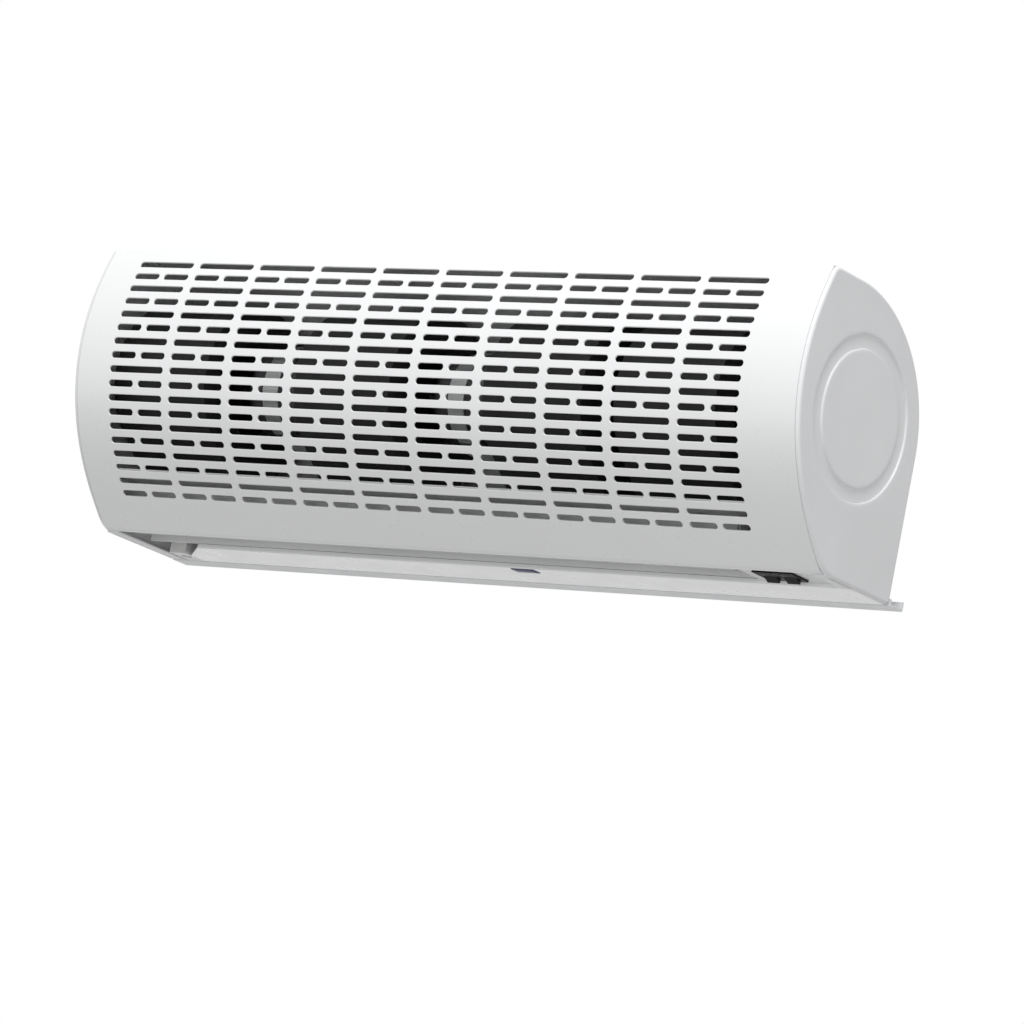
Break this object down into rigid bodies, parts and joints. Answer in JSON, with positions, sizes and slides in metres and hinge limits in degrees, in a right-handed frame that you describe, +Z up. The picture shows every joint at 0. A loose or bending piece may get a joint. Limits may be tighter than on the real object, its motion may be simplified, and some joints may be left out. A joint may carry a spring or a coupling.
{
  "type": "air curtain",
  "caption": "Short wall-mounted air curtain: slotted curved cover, scroll blowers on motors inside, turning outlet vane and rocker switches underneath.",
  "frame": {"origin": "back face of the wall plate, at the middle of the unit's length and height", "axes": "+X along the unit, to the right seen from the front; +Y into the wall; +Z up"},
  "size_m": [0.6, 0.16, 0.1916],
  "materials": {
    "painted_white": "gloss white paint",
    "white_plastic": "satin white moulding",
    "inner_sheet": "light grey sheet",
    "black_plastic": "satin black",
    "motor_can": "grey plated steel",
    "bright_steel": "bright steel",
    "navy_lens": "dark blue lens"
  },
  "bodies": {
    "casing": {"wall_plate": "painted_white", "rear_shell": "painted_white", "front_cover": "painted_white", "base_panel": "painted_white", "left_end_cap": "white_plastic", "right_end_cap": "white_plastic", "vane_pivot_left": "white_plastic", "vane_pivot_right": "white_plastic", "run_capacitor_1": "white_plastic", "run_capacitor_2": "white_plastic", "terminal_block": "white_plastic", "cord_clamp": "white_plastic", "lower_baffle": "inner_sheet", "outlet_front_wall": "inner_sheet", "outlet_rear_wall": "inner_sheet", "motor_saddle_1": "inner_sheet", "motor_saddle_2": "inner_sheet", "bearing_pedestal": "inner_sheet", "switch_plate": "inner_sheet", "scroll_housing_1": "black_plastic", "scroll_housing_2": "black_plastic", "scroll_housing_3": "black_plastic", "scroll_housing_4": "black_plastic", "switch_body_1": "black_plastic", "switch_body_2": "black_plastic", "motor_1": "motor_can", "motor_2": "motor_can", "motor_strap_1": "bright_steel", "motor_strap_2": "bright_steel", "indicator_lens": "navy_lens"},
    "left_rotor": {"shaft_left": "bright_steel", "fan_wheel_1": "black_plastic", "fan_wheel_2": "black_plastic"},
    "right_rotor": {"shaft_right": "bright_steel", "fan_wheel_3": "black_plastic", "fan_wheel_4": "black_plastic"},
    "vane": {"outlet_vane": "white_plastic"},
    "rocker_1": {"switch_rocker_1": "black_plastic"},
    "rocker_2": {"switch_rocker_2": "black_plastic"}
  },
  "joints": [
    {"name": "left_rotor_spin", "type": "hinge", "parent": "casing", "child": "left_rotor", "pos_m": [-0.158, -0.0872, 0.01], "axis": [1, 0, 0], "continuous": true},
    {"name": "right_rotor_spin", "type": "hinge", "parent": "casing", "child": "right_rotor", "pos_m": [0.132, -0.0872, 0.01], "axis": [1, 0, 0], "continuous": true},
    {"name": "vane_tilt", "type": "hinge", "parent": "casing", "child": "vane", "pos_m": [-0.036, -0.0757, -0.08], "axis": [1, 0, 0], "range_deg": [-30, 30]},
    {"name": "rocker_1_tip", "type": "hinge", "parent": "casing", "child": "rocker_1", "pos_m": [0.2452, -0.0757, -0.0904], "axis": [1, 0, 0], "range_deg": [0, 20]},
    {"name": "rocker_2_tip", "type": "hinge", "parent": "casing", "child": "rocker_2", "pos_m": [0.2608, -0.0757, -0.0904], "axis": [1, 0, 0], "range_deg": [0, 20]}
  ]
}
